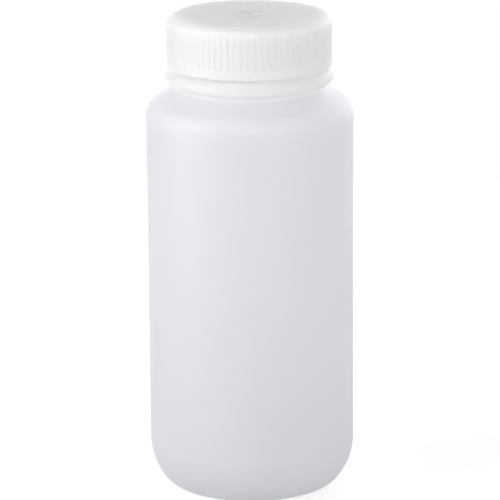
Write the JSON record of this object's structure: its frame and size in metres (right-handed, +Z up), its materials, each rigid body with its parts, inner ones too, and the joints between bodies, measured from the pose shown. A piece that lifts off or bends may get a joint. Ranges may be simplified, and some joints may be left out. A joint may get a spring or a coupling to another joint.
{
  "type": "reagent bottle",
  "caption": "Wide-mouth blow-moulded laboratory bottle with a ribbed screw cap, a bead under the cap and a sealing liner.",
  "frame": {"origin": "centre of the ring that the bottle stands on, at the bottom of the bottle", "axes": "+Z up along the bottle's axis; the object is round, so X and Y are set only by where the thread starts, with +X towards the lower end of the bottle's thread"},
  "size_m": [0.073, 0.073, 0.1707],
  "materials": {
    "natural_polyethylene": "blow-moulded, unpigmented, milky and translucent, satin",
    "natural_polypropylene": "injection-moulded, unpigmented, milky and translucent, soft gloss",
    "soft_polyethylene": "die-cut sheet of low-density polyethylene, matt, white"
  },
  "bodies": {
    "bottle": {"bottle": "natural_polyethylene"},
    "liner": {"cap_liner": "soft_polyethylene"},
    "cap": {"screw_cap": "natural_polypropylene"}
  },
  "joints": [
    {"name": "cap_lift", "type": "slide", "parent": "bottle", "child": "liner", "axis": [0, 0, 1], "range_m": [0, 0.0212]},
    {"name": "cap_turn", "type": "hinge", "parent": "liner", "child": "cap", "pos_m": [0, 0, 0.1677], "axis": [0, 0, 1], "range_deg": [0, 1800]}
  ],
  "couplings": [
    {"joint": "cap_lift", "follows": "cap_turn", "m_per_rad": 0.0006737}
  ]
}
